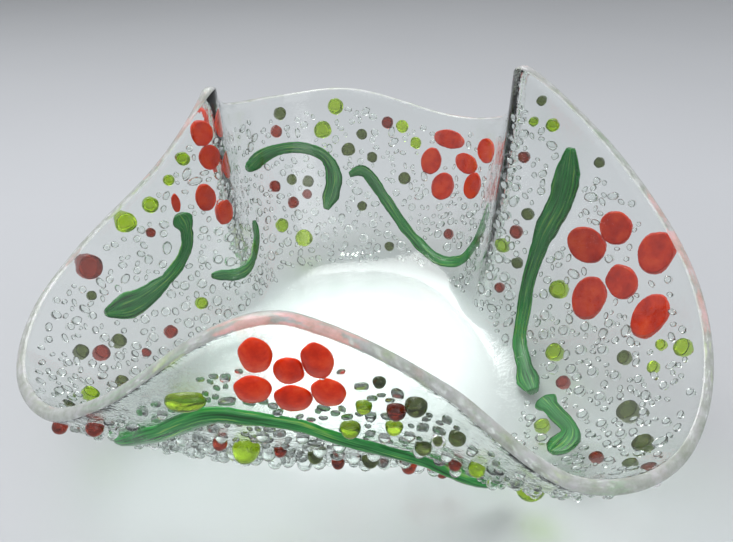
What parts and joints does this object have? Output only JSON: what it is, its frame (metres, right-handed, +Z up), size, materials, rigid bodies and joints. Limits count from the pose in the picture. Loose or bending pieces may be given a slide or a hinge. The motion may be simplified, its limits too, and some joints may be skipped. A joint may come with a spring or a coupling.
{
  "type": "art glass bowl",
  "caption": "Folded, free-form fused glass bowl with a round flat foot, carrying flowers, stems and drops of coloured glass on its outer face.",
  "frame": {"origin": "centre of the round flat face that the bowl rests on", "axes": "+Z up through the open mouth; -Y towards the low fold with the front flower; +X towards the tallest fold"},
  "size_m": [0.2259, 0.2184, 0.1124],
  "materials": {
    "clear_sheet_glass": "clear, fire polished",
    "clear_drop_glass": "clear, fire polished",
    "orange_red_glass": "opal, fire polished",
    "green_glass": "streaky, fire polished",
    "lime_glass": "transparent, fire polished",
    "olive_glass": "transparent, fire polished",
    "red_brown_glass": "transparent, fire polished"
  },
  "bodies": {
    "root": {"glass_sheet": "clear_sheet_glass", "front_flower_heart": "orange_red_glass", "front_flower_petal_1": "orange_red_glass", "front_flower_petal_2": "orange_red_glass", "front_flower_petal_3": "orange_red_glass", "front_flower_petal_4": "orange_red_glass", "front_flower_petal_5": "orange_red_glass", "right_flower_heart": "orange_red_glass", "right_flower_petal_1": "orange_red_glass", "right_flower_petal_2": "orange_red_glass", "right_flower_petal_3": "orange_red_glass", "right_flower_petal_4": "orange_red_glass", "right_flower_petal_5": "orange_red_glass", "back_flower_heart": "orange_red_glass", "back_flower_petal_1": "orange_red_glass", "back_flower_petal_2": "orange_red_glass", "back_flower_petal_3": "orange_red_glass", "back_flower_petal_4": "orange_red_glass", "back_flower_petal_5": "orange_red_glass", "left_flower_heart": "orange_red_glass", "left_flower_petal_1": "orange_red_glass", "left_flower_petal_2": "orange_red_glass", "left_flower_petal_3": "orange_red_glass", "left_flower_petal_4": "orange_red_glass", "left_flower_petal_5": "orange_red_glass", "front_stem": "green_glass", "right_stem": "green_glass", "right_leaf": "green_glass", "back_leaf": "green_glass", "back_stem": "green_glass", "left_leaf": "green_glass", "left_stem": "green_glass", "left_bud": "orange_red_glass", "front_lime_drops": "lime_glass", "front_olive_drops": "olive_glass", "front_red_drops": "red_brown_glass", "front_clear_drops": "clear_drop_glass", "right_lime_drops": "lime_glass", "right_olive_drops": "olive_glass", "right_red_drops": "red_brown_glass", "right_clear_drops": "clear_drop_glass", "back_lime_drops": "lime_glass", "back_olive_drops": "olive_glass", "back_red_drops": "red_brown_glass", "back_clear_drops": "clear_drop_glass", "left_lime_drops": "lime_glass", "left_olive_drops": "olive_glass", "left_red_drops": "red_brown_glass", "left_clear_drops": "clear_drop_glass"}
  },
  "joints": []
}
